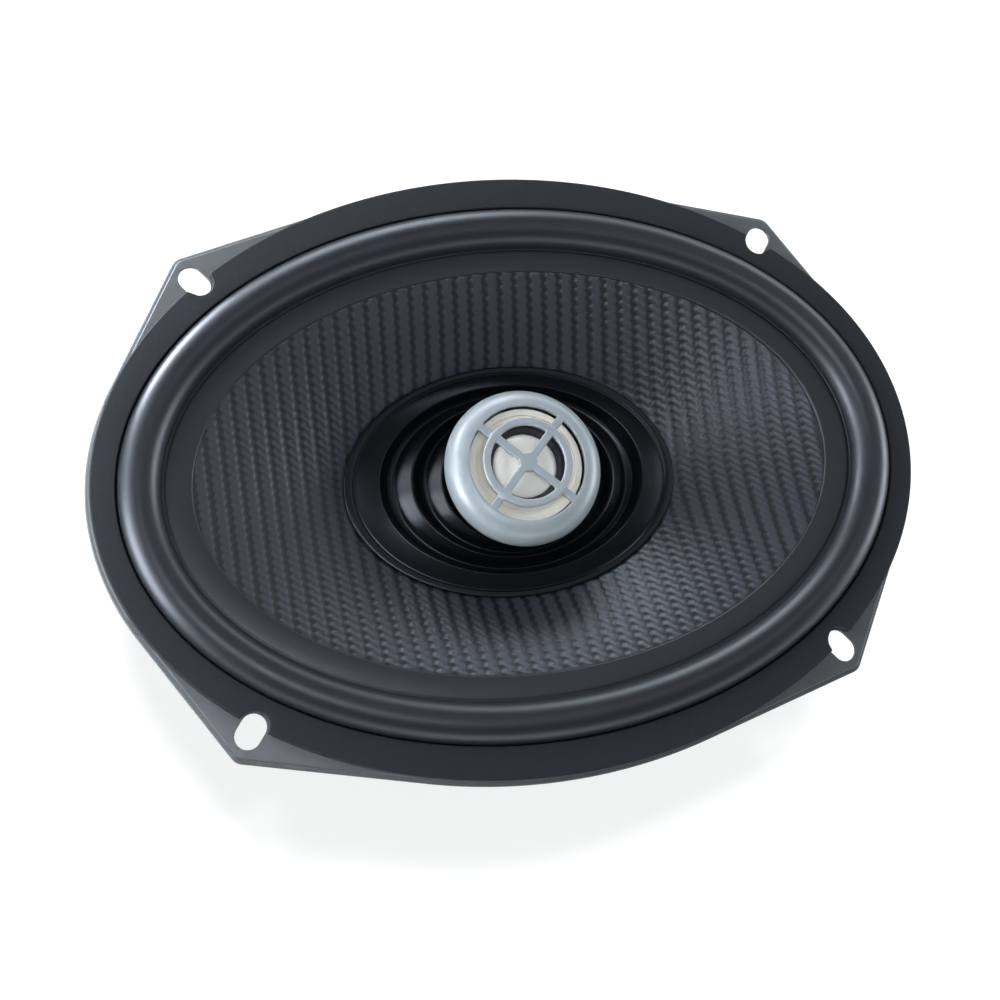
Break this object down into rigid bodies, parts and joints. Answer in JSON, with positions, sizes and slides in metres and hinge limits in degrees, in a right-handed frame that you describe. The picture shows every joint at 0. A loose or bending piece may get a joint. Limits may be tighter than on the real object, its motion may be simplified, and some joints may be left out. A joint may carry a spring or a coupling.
{
  "type": "coaxial car speaker",
  "caption": "Oval coaxial car speaker: woven cone on a rubber half roll, corrugated centre cap and a post-mounted dome tweeter in a pressed steel basket.",
  "frame": {"origin": "centre of the flange's seating plane, midway between the four mounting slots", "axes": "+Z is the listening axis, away from the magnet; X is the long axis of the oval, Y the short axis, and the terminals are at -Y"},
  "size_m": [0.2344, 0.1716, 0.0895],
  "materials": {
    "frame_coat": "matte dark grey-green coat on steel",
    "gasket": "matte black pressed fibre",
    "surround_rubber": "satin dark blue-grey rubber",
    "cone_weave": "coated dark woven fibre",
    "cap_plastic": "satin black moulded plastic",
    "former": "brown kraft former",
    "copper_winding": "enamelled copper wire",
    "spider_cloth": "treated corrugated cotton",
    "tinsel": "braided tinsel wire",
    "brass": "bright brass",
    "plated_steel": "zinc plated steel",
    "ferrite": "dark grey sintered ferrite",
    "cover_rubber": "matte black moulded rubber",
    "board": "brown phenolic board",
    "terminal_metal": "tin flashed brass tab",
    "rivet_metal": "plated steel rivet",
    "capacitor_sleeve": "dark blue shrink sleeve",
    "post_metal": "turned aluminium",
    "lead_insulation": "black soft insulation",
    "housing_plastic": "satin grey plastic",
    "nickel": "nickel plated neodymium",
    "dome_pearl": "pearl white film",
    "suspension_cloth": "treated black cloth",
    "faceplate_pearl": "pearl white plastic",
    "bezel_satin": "satin silver-blue moulding"
  },
  "bodies": {
    "frame": {"basket": "frame_coat", "gasket": "gasket", "top_plate": "plated_steel", "magnet": "ferrite", "yoke": "plated_steel", "magnet_cover": "cover_rubber", "plate_rivets": "plated_steel", "terminal_board": "board", "positive_terminal": "terminal_metal", "negative_terminal": "terminal_metal", "terminal_rivets": "rivet_metal", "capacitor": "capacitor_sleeve", "tweeter_post": "post_metal", "post_nut": "plated_steel", "tweeter_lead": "lead_insulation", "tweeter_housing": "housing_plastic", "tweeter_pot": "plated_steel", "tweeter_magnet": "nickel", "tweeter_pole_washer": "plated_steel", "tweeter_faceplate": "faceplate_pearl", "tweeter_bezel": "bezel_satin"},
    "cone_assembly": {"cone": "cone_weave", "centre_cap": "cap_plastic", "voice_coil_former": "former", "voice_coil": "copper_winding", "lead_eyelets": "brass", "surround": "surround_rubber", "spider": "spider_cloth", "tinsel_leads": "tinsel"},
    "dome_assembly": {"tweeter_dome": "dome_pearl", "tweeter_coil": "copper_winding", "tweeter_suspension": "suspension_cloth"}
  },
  "joints": [
    {"name": "cone_travel", "type": "slide", "parent": "frame", "child": "cone_assembly", "axis": [0, 0, 1], "range_m": [-0.004, 0.004], "stiffness_N_per_m": 3000, "deforming": ["surround", "spider", "tinsel_leads"]},
    {"name": "dome_travel", "type": "slide", "parent": "frame", "child": "dome_assembly", "axis": [0, 0, 1], "range_m": [-0.0004, 0.0004], "stiffness_N_per_m": 50, "deforming": ["tweeter_suspension"]}
  ]
}
